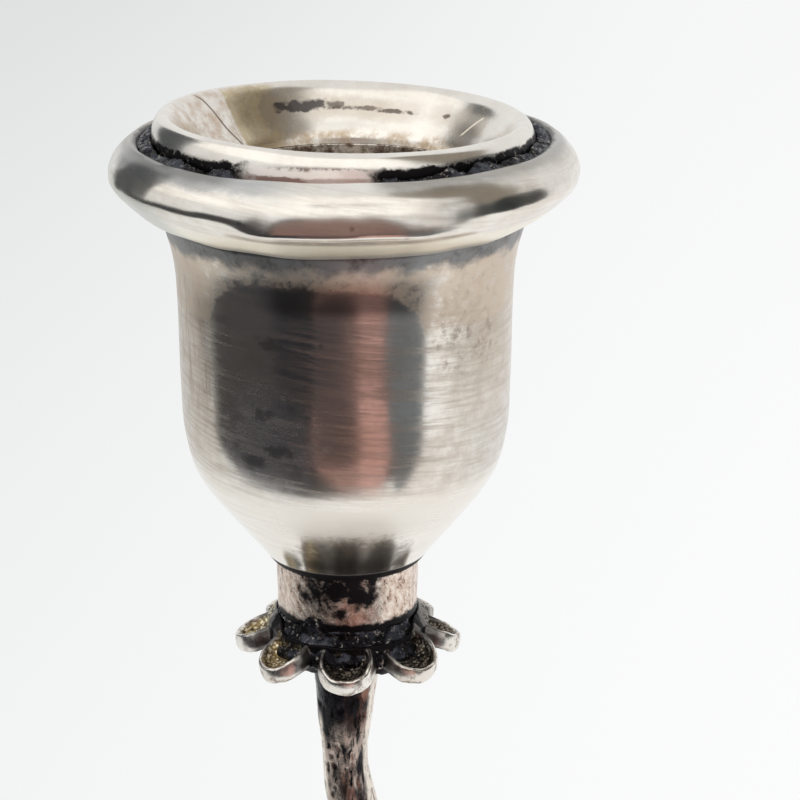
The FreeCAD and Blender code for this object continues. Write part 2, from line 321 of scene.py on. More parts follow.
class Recipe:
    """One procedural material. Positions and sizes in it are in millimetres, in the row frame at rest."""

    def __init__(self, name, metallic=1.0):
        self.material = bpy.data.materials.new(name)
        self.material.use_nodes = True
        self.tree = self.material.node_tree
        self.tree.nodes.clear()
        output = self.node("ShaderNodeOutputMaterial")
        self.shader = self.node("ShaderNodeBsdfPrincipled")
        self.tree.links.new(self.shader.outputs["BSDF"], output.inputs["Surface"])
        fill(self.shader, {"Metallic": metallic})
        scaled = self.node("ShaderNodeVectorMath", operation="SCALE")
        self.tree.links.new(self.node("ShaderNodeTexCoord").outputs["Object"], scaled.inputs[0])
        fill(scaled, {"Scale": 1 / MM})
        self.place = scaled.outputs["Vector"]
        split = self.node("ShaderNodeSeparateXYZ")
        self.tree.links.new(self.place, split.inputs[0])
        self.x, self.y, self.z = (Value(self, socket) for socket in split.outputs)
        self.radius = self.math("SQRT", self.x * self.x + self.y * self.y)

    def node(self, kind, **settings):
        made = self.tree.nodes.new(kind)
        for name, value in settings.items():
            setattr(made, name, value)
        return made

    def feed(self, socket, value):
        if isinstance(value, Value):
            self.tree.links.new(value.socket, socket)
        else:
            socket.default_value = value

    def math(self, operation, a, b=0.0):
        made = self.node("ShaderNodeMath", operation=operation)
        self.feed(made.inputs[0], a)
        self.feed(made.inputs[1], b)
        return Value(self, made.outputs[0])

    def either(self, first, *others):
        """The largest of several masks."""
        for other in others:
            first = self.math("MAXIMUM", first, other)
        return first

    def bearing(self, forward=-1.0):
        """Degrees to the right of the front, or of the back where forward is 1."""
        return self.math("ARCTAN2", self.x, self.y * forward) * (180 / math.pi)

    def stored(self, name):
        """A value that is stored on the points of the mesh."""
        return Value(self, self.node("ShaderNodeAttribute", attribute_name=name).outputs["Fac"])

    def texture_place(self, size, stretch, seed, tilt):
        made = self.node("ShaderNodeMapping", vector_type="TEXTURE")
        self.tree.links.new(self.place, made.inputs["Vector"])
        fill(made, {"Location": (seed * 7.3, seed * 3.1, seed * 5.7), "Scale": [size * s for s in stretch]})
        fill(made, {"Rotation": (0.0, math.radians(tilt), 0.0)})
        return made.outputs["Vector"]

    def noise(self, size, detail=3.0, roughness=0.5, stretch=(1, 1, 1), seed=0.0, distortion=0.0, tilt=0.0):
        """Soft noise, from 0 to 1, whose patches are about this size."""
        made = self.node("ShaderNodeTexNoise")
        self.tree.links.new(self.texture_place(size, stretch, seed, tilt), made.inputs["Vector"])
        fill(made, {"Scale": 1.0, "Detail": detail, "Roughness": roughness, "Distortion": distortion})
        return Value(self, made.outputs["Fac"])

    def cells(self, size, seed):
        """Distance from the nearest of many scattered points about this far apart."""
        made = self.node("ShaderNodeTexVoronoi")
        self.tree.links.new(self.texture_place(size, (1, 1, 1), seed, 0.0), made.inputs["Vector"])
        fill(made, {"Scale": 1.0})
        return Value(self, made.outputs["Distance"])

    def blot(self, *spans, ragged=0.6, size=1.0, seed=0.0, soft=0.35, stretch=(1, 1, 1)):
        """A ragged spot. Each span is a value, its middle and how far the spot reaches to both sides."""
        total = (self.noise(size, detail=5, roughness=0.65, seed=seed, stretch=stretch) - 0.5) * (4 * ragged)
        for value, middle, reach in spans:
            away = (value - middle) * (1 / reach)
            total = total + away * away
        return total.step(1.0 + soft, 1.0 - soft)

    def mix(self, factor, a, b, sockets=MIX_COLOURS):
        """a where the factor is 0, b where it is 1."""
        first, second, result = sockets
        made = self.node("ShaderNodeMix", data_type="RGBA" if sockets is MIX_COLOURS else "FLOAT")
        self.feed(made.inputs[0], factor)
        self.feed(made.inputs[first], a)
        self.feed(made.inputs[second], b)
        return Value(self, made.outputs[result])

    def done(self, colour, roughness, height=None, depth=0.05):
        """Connects the finished sockets. height is a relief from 0 to 1 and depth its real depth."""
        self.feed(self.shader.inputs["Base Color"], colour)
        self.feed(self.shader.inputs["Roughness"], roughness)
        if height is not None:
            bump = self.node("ShaderNodeBump")
            fill(bump, {"Strength": 1.0, "Distance": depth * MM})
            self.feed(bump.inputs["Height"], height)
            self.tree.links.new(bump.outputs["Normal"], self.shader.inputs["Normal"])
        return self.material


CLEAN = tone(242, 238, 230)
HAZE = tone(176, 156, 138)
PINK_HAZE = tone(186, 158, 146)
BROWN = tone(112, 94, 78)
BLACK = tone(36, 34, 36)


class Silver(Recipe):
    """Worn silver: a warm haze, brush marks round the piece and small spots, with tarnish laid over them."""

    def __init__(self, name, haze=0.5, brushed=1.0, smoothness=0.15):
        super().__init__(name)
        broad = self.noise(8.0, detail=4, roughness=0.6)
        self.mottled = self.noise(1.5, detail=6, roughness=0.7, seed=1)
        self.streaks = self.noise(0.4, detail=4, roughness=0.65, stretch=(18, 18, 1), seed=2, tilt=7.0)
        warmth = (broad + self.mottled * 0.6).step(0.6, 1.05)
        self.colour = self.mix(warmth * haze, CLEAN, HAZE)
        self.roughness = warmth * (0.1 * haze) + smoothness
        self.relief = self.mottled * 0.25
        if brushed:
            marks = self.streaks.step(0.4, 0.7)
            self.lay(marks * (0.3 * brushed), HAZE)
            self.roughness = self.roughness + marks * (0.09 * brushed)
            self.relief = self.relief + self.streaks * (0.5 * brushed)
        spots = self.cells(2.6, seed=3).step(0.12, 0.05) * self.noise(6.0, seed=4).step(0.5, 0.6)
        self.lay(spots * 0.4, BROWN)

    def lay(self, mask, colour, roughness=None):
        """Covers the masked place with a colour, and a roughness if one is given."""
        self.colour = self.mix(mask, self.colour, colour)
        if roughness is not None:
            self.roughness = self.mix(mask, self.roughness, roughness, MIX_NUMBERS)

    def less_metallic(self, mask):
        """Lowers the metal at the masked place to a quarter, so that its laid colour shows more than what it
        reflects: a way to paint brightness on.
        """
        self.feed(self.shader.inputs["Metallic"], 1.0 - mask * 0.75)

    def ready(self, depth=0.006):
        return self.done(self.colour, self.roughness, self.relief, depth)


# Stains in the funnel: bearing from the back, half its spread, radius, half its width, seed, colour.
STAINS = [
    (-16.0, 13.0, 13.15, 0.3, 51, tone(54, 50, 55)),
    (4.0, 8.0, 13.0, 0.14, 52, tone(92, 82, 78)),
    (18.0, 9.0, 12.9, 0.14, 53, tone(96, 86, 78)),
    (42.0, 2.2, 13.0, 0.16, 54, tone(110, 94, 80)),
    (61.0, 4.0, 12.0, 0.45, 55, tone(160, 162, 166)),
]


def lip_silver():
    """The lip and its funnel: clean on top, brown by the seam, with dark stains half-way down the funnel."""
    recipe = Silver("lip_silver", haze=0.25, brushed=0.15, smoothness=0.2)
    mottled = recipe.mottled
    height = recipe.z - SEAT
    back = recipe.bearing(forward=1.0)
    radius = recipe.radius
    in_funnel = radius.step(15.0, 14.4)
    grain = recipe.noise(0.5, detail=5, roughness=0.7, seed=30)
    recipe.lay(in_funnel * mottled.step(0.4, 0.7) * back.window(-110, -48, 6), tone(206, 186, 168))
    ragged_back = back + (mottled - 0.5) * 14
    browned = in_funnel * back.step(-50, -48.5) * ragged_back.step(-25, -32)
    recipe.lay(browned * grain.step(0.1, 0.6), tone(212, 196, 164), 0.32)
    recipe.lay(browned * mottled.step(0.42, 0.66) * 0.6, tone(176, 162, 138), 0.36)
    recipe.lay(recipe.blot((back, -29, 7), (radius, 12.8, 1.3), seed=31) * 0.6, tone(152, 142, 130), 0.4)
    seam = (back + (radius - BORE) * 3.3).window(SEAM_BEARING - 0.4, SEAM_BEARING + 0.4, 0.5)
    recipe.lay(in_funnel * seam, tone(112, 94, 80), 0.4)
    for middle, reach, level, thick, seed, colour in STAINS:
        stain = recipe.blot((back, middle, reach), (radius, level, thick), ragged=1.5, seed=seed, soft=0.6)
        around = (radius, level, thick + 0.5)
        halo = recipe.blot((back, middle, reach + 5), around, size=1.2, seed=seed, soft=0.9)
        recipe.lay(halo * 0.3, tone(184, 168, 148), 0.3)
        recipe.lay(stain * 0.85, colour, 0.4)
    recipe.lay(radius.step(11.9, 11.4) * mottled.step(0.36, 0.66), tone(196, 176, 152), 0.36)
    recipe.lay(recipe.blot((back, 57, 10), (radius, 12.7, 1.3), seed=32) * 0.5, tone(216, 202, 184), 0.34)
    across = back - 58.5 - (radius - 12.8) * 4.4
    scratch = across.window(-0.5, 0.5, 0.4) * radius.window(12.1, 13.5, 0.1)
    recipe.lay(scratch, tone(255, 246, 226), 0.5)
    front = recipe.bearing()
    wall = radius.step(15.8, 15.9) * (height + mottled * 1.6).step(2.2, 1.9)
    clean_arc = (front + mottled * 16).window(CLEAN_LEFT + 8, CLEAN_RIGHT + 8, 3)
    # The lip's low outer wall is black away from the clean front arc: residue, and painted shade beside the
    # groove.
    recipe.lay(wall * (1.0 - clean_arc), BLACK, 0.5)
    flecks = wall * grain.step(0.56, 0.66) * abs(front).step(34, 46)
    recipe.lay(flecks * 0.7, tone(206, 202, 196), 0.4)
    # Painted brightness: the clean front arc of the wall is laid pale, and below made less metallic, so it shows
    # pale in place of the dark it would reflect.
    recipe.lay(wall * clean_arc, tone(250, 242, 234), 0.5)
    pinkish = (front + mottled * 20).step(5, 13)
    recipe.lay(wall * clean_arc * pinkish * 0.8, tone(224, 206, 200), 0.5)
    low = (height + mottled * 0.6).step(1.0, 0.75)
    recipe.lay(wall * clean_arc * low * 0.65, tone(140, 112, 104), 0.4)
    spot = recipe.blot((front, -17, 8), (height, 0.3, 0.3), ragged=0.9, size=0.8, seed=34)
    recipe.lay(wall * spot * 0.8, tone(132, 100, 90), 0.5)
    # Less metal on the clean front arc, for its painted brightness, and on the scratch.
    recipe.less_metallic(recipe.either(wall * clean_arc, scratch))
    return recipe.ready()


def silver_inside():
    """The candle sleeve: dull brown inside."""
    recipe = Silver("bore_silver", haze=0.8, brushed=0.5, smoothness=0.24)
    recipe.lay(recipe.mottled.step(0.4, 0.6) * recipe.radius.step(BORE + 0.3, BORE + 0.1), BROWN)
    return recipe.ready()


def bead_silver():
    """The rim moulding: polished, black in the groove except at the front, which is painted pale, and pale and
    rough at its lower edge, where a painted brightness covers a dark reflection.
    """
    recipe = Silver("bead_silver", haze=0.3, brushed=0.7, smoothness=0.18)
    height = recipe.z - SEAT
    front = recipe.bearing()
    ragged = recipe.radius + recipe.mottled
    groove = ragged.step(18.3, 17.9) * height.step(-0.5, -0.1)
    dirty = recipe.noise(2.5, detail=4, seed=33).step(0.4, 0.55)
    clean_arc = front.window(CLEAN_LEFT, CLEAN_RIGHT, 4)
    recipe.lay(groove * (1.0 - clean_arc), BLACK, 0.45)
    # Painted brightness: the clean front of the groove is laid pale and made less metallic, so it shows pale in
    # place of the dark it would reflect.
    recipe.lay(groove * clean_arc, tone(250, 240, 232), 0.4)
    recipe.lay(groove * clean_arc * dirty * 0.5, PINK_HAZE, 0.4)
    recipe.less_metallic(groove * clean_arc)
    # Painted brightness: the lower edge is laid pale and rough over the dark it reflects.
    recipe.lay(height.step(-3.8, -4.4) * 0.85, tone(244, 238, 222), 0.36)
    upper = height.step(-2.4, -1.6)
    shaded = upper * front.window(-78, -14, 8) * ragged.step(20.0, 19.2) * 0.7
    recipe.lay(shaded, tone(150, 154, 158), 0.3)
    fringe = upper * (1.0 - clean_arc) * ragged.step(19.7, 18.6) * 0.6
    recipe.lay(fringe, tone(124, 122, 118), 0.3)
    # Painted shade: grey on the lower left of the bead.
    under = height.step(-1.9, -2.5) * front.step(-42, -54)
    recipe.lay(under * 0.7, tone(190, 192, 188), 0.3)
    return recipe.ready()


# Dark marks on the front of the bell: bearing, height over the seat, seed.
SMUDGES = [
    (-27.0, -19.8, 61),
    (-22.0, -22.8, 62),
    (-31.0, -24.0, 63),
    (-24.0, -13.6, 64),
]


def cup_silver():
    """The bell: finely brushed, with painted shade at the sides, hazy at the top, blue-grey under the moulding
    with tarnish and painted reflection, painted reflections across its front, and a painted shadow at its bottom
    edge.
    """
    recipe = Silver("cup_silver", haze=0.45, brushed=1.0, smoothness=0.13)
    mottled = recipe.mottled
    height = recipe.z - SEAT
    front = recipe.bearing()
    upper = height.step(-29.0, -14.0)
    left = front.step(-38, -60)
    right = front.step(30, 50)
    strokes = recipe.noise(1.4, detail=5, roughness=0.65, stretch=(0.6, 0.6, 3.0), seed=41)
    # Painted shade on the upper left and right sides, with brush strokes on the left.
    recipe.lay(left * upper * 0.62, tone(166, 148, 130), 0.28)
    recipe.lay(left * upper * strokes.step(0.45, 0.65) * 0.5, tone(140, 120, 102), 0.3)
    recipe.lay(right * upper * 0.6, tone(180, 166, 148), 0.26)
    recipe.lay(front.step(26, 60) * height.step(-16.0, -24.0) * 0.5, tone(206, 204, 198), 0.24)
    recipe.lay(front.step(25, 40) * mottled.step(0.3, 0.85) * 0.5, tone(176, 162, 146), 0.26)
    freckles = recipe.noise(0.8, detail=5, roughness=0.65, seed=42).step(0.46, 0.7)
    freckled = recipe.blot((front, 47, 17), (height, -12.5, 4.5), seed=43)
    recipe.lay(freckles * freckled * 0.6, tone(138, 120, 104), 0.32)
    ground = height.step(-10.5, -14.5) * recipe.streaks.step(0.42, 0.66)
    recipe.lay(ground * 0.3, tone(186, 174, 160), 0.34)
    recipe.lay(height.step(-25.5, -28.5) * 0.75, tone(243, 238, 229), 0.14)
    smears = recipe.blot((front, -26, 16), (height, -22.5, 4.0), size=1.2, ragged=1.0, seed=45, soft=0.9)
    recipe.lay(smears * 0.35, tone(226, 224, 226), 0.4)
    scratches = recipe.noise(0.2, detail=3, roughness=0.6, stretch=(44, 44, 1), seed=46, tilt=2.0)
    recipe.lay(scratches.step(0.55, 0.7) * 0.22, tone(214, 208, 206), 0.4)
    # Painted reflection across the top of the bell's front: a dark band, and above it a cream edge whose corners
    # are rounded.
    brow = height.window(-11.0, -7.8, 0.7) * front.window(-24, 30, 6) * 0.74
    recipe.lay(brow, tone(58, 56, 60), 0.2)
    corners = abs((front + 11.0) * (1 / 37.0)) ** 5.0 * 3.2
    lowered = height + recipe.math("MINIMUM", corners, 4.0) + mottled * 1.2
    cream = lowered.step(-8.6, -7.8) * mottled.step(0.25, 0.6)
    recipe.lay(cream * 0.7, tone(212, 194, 174), 0.38)
    # The blue-grey band under the moulding is tarnish, and painted reflection of the moulding's dark underside.
    wander = recipe.noise(2.4, detail=5, roughness=0.6, seed=44) * 3.0
    band = (height + wander - front.window(-12, 22, 10) * 0.3).step(-6.6, -5.3)
    recipe.lay(band * 0.85, tone(112, 116, 120), 0.36)
    recipe.lay(band * mottled.step(0.45, 0.75) * 0.6, BLACK, 0.4)
    for middle, level, seed in SMUDGES:
        spans = [(front, middle, 4.5), (height, level, 0.5)]
        smudge = recipe.blot(*spans, size=0.7, ragged=1.6, seed=seed, soft=0.9)
        recipe.lay(smudge * 0.35, tone(40, 44, 52), 0.15)
    # Painted brightness: a pale, less metallic patch low on the front, in place of the petals it would reflect.
    painted_brightness = height.window(-31.3, -27.6, 1.0) * front.window(-30, 42, 16) * 0.75
    recipe.lay(painted_brightness, tone(240, 234, 224), 0.4)
    shade = recipe.blot((front, 5, 30), (height, -35.2, 3.7), size=0.8, ragged=0.7, seed=47, soft=0.6)
    recipe.lay(shade * 0.55, tone(94, 88, 84), 0.26)
    # Painted shadow along the bell's bottom edge, over the collar.
    recipe.lay(recipe.z.step(CUP_BOTTOM + 0.35, CUP_BOTTOM + 0.1), BLACK, 0.6)
    recipe.less_metallic(painted_brightness)
    return recipe.ready(depth=0.01)


def tarnished_silver():
    """The collar: pinkish, with slanting strokes, blotched black, with a painted dark reflection on its front, a
    painted shadow under the bell, and black where it meets the calyx.
    """
    recipe = Recipe("tarnished_silver")
    z = recipe.z
    front = recipe.bearing()
    strokes = recipe.noise(0.5, detail=6, roughness=0.75, stretch=(1, 1, 2.2), tilt=-35.0, seed=11)
    blotches = recipe.noise(1.8, detail=6, roughness=0.7, distortion=0.6, seed=12)
    colour = recipe.mix(strokes.step(0.35, 0.65), tone(240, 228, 216), tone(192, 164, 146))
    # Painted dark reflection on the middle of the collar's front, broken up by blotches.
    centre = recipe.blot((front, -4, 34), (z, CUP_BOTTOM - 1.6, 2.6), size=1.6, ragged=0.8, seed=13)
    black = recipe.either(
        centre * blotches.step(0.34, 0.5),
        strokes.step(0.56, 0.64) * blotches.step(0.42, 0.56),
        # Painted shadow under the bell's overhang, thicker at the front.
        (z + strokes * 0.9).step(CUP_BOTTOM - 0.4, CUP_BOTTOM - 0.2),
        z.step(CUP_BOTTOM - 0.75, CUP_BOTTOM - 0.55) * front.window(-24, 30, 12),
        (z - blotches * 1.6).step(COLLAR_BOTTOM + 0.2, COLLAR_BOTTOM - 0.2),
    )
    colour = recipe.mix(black, colour, BLACK)
    return recipe.done(colour, black * 0.2 + 0.24, strokes + blotches)


def petal_silver(name, stippled):
    """Petals: polished rims and outsides. The stippled ones are gilt in their hollows on the left, and painted
    dark, as reflection, in the others.
    """
    recipe = Silver(name, haze=0.3, brushed=0.0, smoothness=0.24)
    dull = recipe.noise(0.9, detail=5, roughness=0.65, seed=15)
    recipe.lay(dull.step(0.47, 0.64) * 0.75, tone(116, 100, 94), 0.3)
    if stippled:
        hollow = recipe.stored("hollow")
        # Darker towards the roots: patina, and painted shade where the petals meet.
        rooted = (recipe.radius + dull * 2.0).step(10.1, 9.1)
        recipe.lay(rooted * 0.85, tone(56, 53, 54), 0.32)
        stipple = recipe.cells(0.28, seed=16)
        patches = recipe.noise(1.8, detail=4, roughness=0.6, seed=17)
        # The hollows are gilt on the left; elsewhere they are painted dark, as reflection.
        gilt = (recipe.bearing() + patches * 40).step(6, -12)
        bright = recipe.mix(gilt, tone(158, 150, 136), tone(246, 236, 208))
        gilding = recipe.mix(patches.step(0.36, 0.62), tone(176, 154, 106), tone(104, 90, 76))
        ground = recipe.mix(gilt, tone(64, 58, 53), gilding)
        gold = recipe.mix((stipple + dull * 0.5).step(0.5, 0.85), bright, ground)
        gold = recipe.mix(dull.step(0.56, 0.66), gold, BLACK)
        recipe.lay(hollow, gold, 0.42)
        recipe.relief = recipe.relief - stipple * hollow * 1.2
    # Painted shade: black in the crevices between the petals, at their roots and on their undersides.
    recipe.lay((recipe.stored("crevice") + dull * 0.5).step(0.55, 0.85), BLACK, 0.5)
    return recipe.ready(depth=0.06)


def oxidised_silver(name):
    """The stalk: dark silver with black cracks and pits, brown-red in long patches, painted highlights along its
    edges, and painted shade at its top.
    """
    recipe = Recipe(name)
    height = recipe.z - STALK_TOP
    front = recipe.bearing()
    long_patches = recipe.noise(1.3, detail=5, roughness=0.6, stretch=(1, 1, 3.5), seed=16)
    crack = recipe.noise(0.7, detail=6, roughness=0.7, stretch=(1, 1, 3.2), seed=17, distortion=0.5)
    fine = recipe.noise(0.3, detail=5, roughness=0.7, seed=18)
    colour = recipe.mix(fine.step(0.35, 0.65), tone(46, 44, 47), tone(24, 23, 26))
    brown = long_patches.step(0.42, 0.56) * front.window(8, 150, 20)
    colour = recipe.mix(brown * 0.8, colour, tone(146, 108, 94))
    lower = height.step(-7.0, -9.5) * height.step(-60.0, -12.0)
    colour = recipe.mix(lower * long_patches.step(0.36, 0.52) * 0.85, colour, tone(194, 178, 167))
    right_side = front.step(135, 120)
    left_side = front.step(-135, -120)
    # Painted highlights along the stalk's edges, broken up by noise.
    edges = recipe.either(
        front.step(43, 53) * right_side * height.step(-1.5, -2.5),
        front.step(42, 56) * right_side * height.step(-8.0, -9.5),
        front.step(-55, -65) * left_side * height.step(-6.5, -8.5),
    )
    highlight_breaks = recipe.noise(1.1, detail=4, stretch=(1, 1, 3), seed=22).step(0.3, 0.42)
    rubbed = edges * height.step(-50.0, -16.0) * highlight_breaks
    spans = [(recipe.x, 0.5, 0.75), (height, -4.4, 4.6)]
    gash = recipe.blot(*spans, size=0.7, ragged=1.1, seed=19, stretch=(1, 1, 2.5))
    black = recipe.either(
        crack.step(0.54, 0.6),
        gash * recipe.y.step(0.4, -0.6) * 0.75,
        # More black near the top, under the calyx: painted shade.
        crack.step(0.42, 0.5) * height.step(-5.0, -2.0),
        (height + long_patches * 2.0).step(-0.6, 0.2),
    )
    colour = recipe.mix(black, colour, tone(24, 22, 24))
    # Lays the painted edge highlight.
    colour = recipe.mix(rubbed, colour, tone(232, 222, 210))
    return recipe.done(colour, fine * 0.12 + black * 0.2 + 0.16, fine * 0.4 - black, depth=0.08)


def solder_black():
    """Black and crusty, with painted glints on a few grains."""
    recipe = Recipe("solder_black")
    grains = recipe.noise(0.45, detail=5, roughness=0.7, seed=21)
    patches = recipe.noise(1.6, detail=4, seed=23)
    ground = recipe.mix(patches.step(0.45, 0.6), tone(30, 29, 32), tone(66, 68, 76))
    # Painted glints: a few grains laid bright.
    colour = recipe.mix(grains.step(0.56, 0.68), ground, tone(196, 188, 178))
    return recipe.done(colour, grains * 0.3 + 0.12, grains, depth=0.12)


def plain_metal(name, colour, roughness):
    """Turned or cast metal that is hidden in use."""
    recipe = Recipe(name)
    grain = recipe.noise(0.6, detail=4, seed=19)
    shade = recipe.mix(grain.step(0.3, 0.7), colour, [c * 0.7 for c in colour[:3]] + [1.0])
    return recipe.done(shade, grain * 0.2 + roughness, grain, depth=0.02)


def felt():
    """Dark green pressed wool."""
    recipe = Recipe("felt_cloth", metallic=0.0)
    fibres = recipe.noise(0.25, detail=5, roughness=0.8, distortion=1.5, seed=20)
    colour = recipe.mix(fibres, tone(30, 52, 42), tone(58, 84, 70))
    fill(recipe.shader, {"Sheen Weight": 0.4})
    return recipe.done(colour, 0.95, fibres, depth=0.15)


# ---------------------------------------------------------------- the nozzle

LIP_TILT = 0.026  # how much lower the lip gets for each millimetre to the right
LIP_PROFILE = [(BORE, -2.5), (11.4, -1.8), (12.4, -0.5), (13.6, 1.15), (14.3, 2.03), (14.95, 2.4),
               (15.5, 2.18), (15.84, 1.65), (16.0, 1.1), (LIP, 0.6)]


def lip_shape(radius, height, angle):
    """The lip is a little lower on the right, and a lapped seam runs down the funnel at the back left."""
    raised = ease(height, SEAT - 0.6, SEAT + 1.4)
    if radius < 15.0 and height > SEAT - 2.6:
        across = math.radians(-right_of_front(angle + math.pi) - SEAM_BEARING) * radius
        radius += 0.09 * ease(across, -0.1, 0.1) * ease(across, 4.5, 0.5) * ease(radius, 11.2, 11.8)
    height -= LIP_TILT * radius * math.cos(angle) * raised
    wander = noise.noise(Vector((math.cos(angle) * 1.6, math.sin(angle) * 1.6, height * 0.3)))
    return radius + 0.05 * wander, height + 0.05 * wander * raised


def nozzle_pieces(polished, dark_inside):
    outside = above(SEAT, [(LIP, 0.6), (LIP, 0.0), (14.05, 0.0), (14.05, -1.3), (SLEEVE, -2.5), (BORE, -2.5)])
    seam = math.radians(90 - SEAM_BEARING)
    seam_angles = [seam + math.radians(0.2) * i + 0.0001 for i in range(-6, 7)]
    profile = [*smooth(above(SEAT, LIP_PROFILE), 0.2), *rounded(outside)[:-1]]
    flange = turned("nozzle_flange_fine", profile, 300, lip_shape, seam_angles)
    placed(flange, "nozzle", "polished_silver", polished, "nozzle_flange")
    low = bottom_of("nozzle_sleeve")
    high = top_of("nozzle_sleeve")
    section = [(BORE, low), (BORE, high), (SLEEVE, high), (SLEEVE, low), (BORE, low)]
    sleeve = turned("nozzle_sleeve_fine", rounded(section)[:-1], 160)
    placed(sleeve, "nozzle", "polished_silver", dark_inside, "nozzle_sleeve")


# ---------------------------------------------------------------- the socket

BEAD_PROFILE = [(CUP_RIM, BEAD_BOTTOM), (16.8, -5.33), (17.9, -4.52), (18.9, -3.6), (19.58, -2.8),
                (BEAD, -2.2), (19.5, -1.05), (18.65, 0.0), (17.85, 0.6)]
CUP_PROFILE = [(CUP_RIM, BEAD_BOTTOM), (15.3, -6.5), (14.98, -7.6), (14.7, -8.7), (14.45, -10.5),
               (14.33, -13.5), (14.22, -20.5), (14.05, -24.5), (13.42, -27.5), (12.93, -28.6), (12.2, -29.8),
               (10.85, -31.6), (9.35, -33.5), (7.75, -35.5), (6.6, -36.95), (6.45, CUP_BOTTOM - SEAT)]


def bead_shape(radius, height, angle):
    """The bead is flattened at the front, where its face leans back a little."""
    bearing = right_of_front(angle)
    front = ease(bearing, -34, -14) * ease(bearing, 46, 24)
    face = ease(height, SEAT - 4.2, SEAT - 3.1) * ease(height, SEAT - 0.2, SEAT - 1.0)
    leaning = BEAD - 0.095 * (height - SEAT + 3.4) ** 2
    groove_edge = 17.9
    if radius > groove_edge:
        radius += 0.9 * front * face * (leaning - radius)
        place = Vector((radius * math.cos(angle), radius * math.sin(angle), height))
        radius += 0.035 * noise.noise(place / 1.7)
    return uneven(0.12, 4.5)(radius, height, angle)


def moulding(material):
    outside = smooth(above(SEAT, BEAD_PROFILE), 0.2)
    inside = rounded(above(SEAT, [(17.85, 0.6), (17.4, 0.55), (17.2, 0.15), (17.1, 0.0), (CUP_RIM, 0.0),
                                  (CUP_RIM, BEAD_BOTTOM)]), 0.3)
    bead = turned("rim_moulding_fine", [*outside, *inside[:-1]], 300, bead_shape)
    placed(bead, "stand", "polished_silver", material, "rim_moulding")


def groove_residue(material):
    """Old polish and tarnish packed in the groove, except where the front is rubbed clean."""

    def lumpy(radius, height, angle):
        bearing = right_of_front(angle)
        rubbed = ease(bearing, CLEAN_LEFT - 4, CLEAN_LEFT + 4)
        rubbed *= ease(bearing, CLEAN_RIGHT + 3, CLEAN_RIGHT - 3)
        place = Vector((math.cos(angle), math.sin(angle), 0.2)) * 9
        lump = 0.8 + 0.8 * noise.noise(place) + 0.3 * noise.noise(place * 2.4 + Vector((radius, 0, 0)))
        lump += 0.3 * noise.noise(place * 7 + Vector((3 * radius, 0, 0)))
        return radius, SEAT - 0.1 + (1 - rubbed) * max(0.0, 0.1 + height * lump)

    section = [(16.14, 0.0), (16.16, 0.55), (16.35, 0.75), (16.7, 0.7), (17.0, 0.55), (17.28, 0.35),
               (17.12, 0.0)]
    ring = turned("groove_residue", smooth([*section, section[0]], 0.12), 420, lumpy)
    placed(ring, "stand", "tarnished_silver", material)


def cup(material):
    sheet = 1.0
    outer = smooth(above(SEAT, CUP_PROFILE), 0.3)
    bottom = rounded(above(CUP_BOTTOM, [(6.45, 0.05), (6.42, 0.0), (STUD_HOLE, 0.0), (STUD_HOLE, sheet)]))
    mouth = 14.2
    inner = inside_of(above(SEAT, CUP_PROFILE), sheet)
    inner = [(mouth, SEAT - 6.3), *inner[3:-1], (6.4, CUP_BOTTOM + sheet)]
    profile = [Vector((mouth, SEAT)), Vector((CUP_RIM, SEAT)), *outer, *bottom, *smooth(inner[::-1], 0.6)]
    bell = turned("socket_cup_fine", profile, 300, uneven(0.05, 6.0, seed=40.0))
    placed(bell, "stand", "polished_silver", material, "socket_cup")


def collar(material):
    profile = [*smooth([(6.4, CUP_BOTTOM), (6.25, CUP_BOTTOM - 2.6), (6.2, COLLAR_BOTTOM)], 0.2),
               Vector((6.2, COLLAR_BOTTOM)), Vector((COLLAR_INSIDE, COLLAR_BOTTOM)),
               Vector((COLLAR_INSIDE, CUP_BOTTOM))]
    tube = turned("cup_collar_fine", profile, 240, uneven(0.07, 1.6, seed=80.0))
    placed(tube, "stand", "tarnished_silver", material, "cup_collar")


def solder(material):
    """The crust where the collar is soldered to the calyx. It climbs the collar at the front left."""

    def crusty(radius, height, angle):
        thin = ease(abs(right_of_front(angle)), *CRUST_ENDS)
        radius -= 0.75 * thin * max(0.0, radius - 6.2)
        climb = 1.1 * ease(abs(right_of_front(angle) + 27), 14, 5) * ease(radius, 6.7, 6.3)
        return radius, height + climb * ease(height, COLLAR_BOTTOM - 0.3, COLLAR_BOTTOM + 0.1)

    section = above(COLLAR_BOTTOM, [(6.1, -2.6), (6.15, 0.1), (6.27, 0.05), (6.5, -0.5), (6.9, -1.05),
                                    (7.25, -1.55), (7.6, -2.15), (7.75, -2.8), (7.4, -3.0)])
    ring = turned("calyx_solder", smooth([*section, section[0]], 0.12), 300, crusty)

    def grain(place):
        sizes = [(0.22, 1.1), (0.16, 0.5), (0.05, 0.2)]
        return sum(amount * noise.noise(place / size) for amount, size in sizes)

    placed(roughened(ring, grain), "stand", "tarnished_silver", material, sharp=70)


# ---------------------------------------------------------------- petals

ROOT_BEHIND = 0.9  # how much further in the petals start where there is no crust


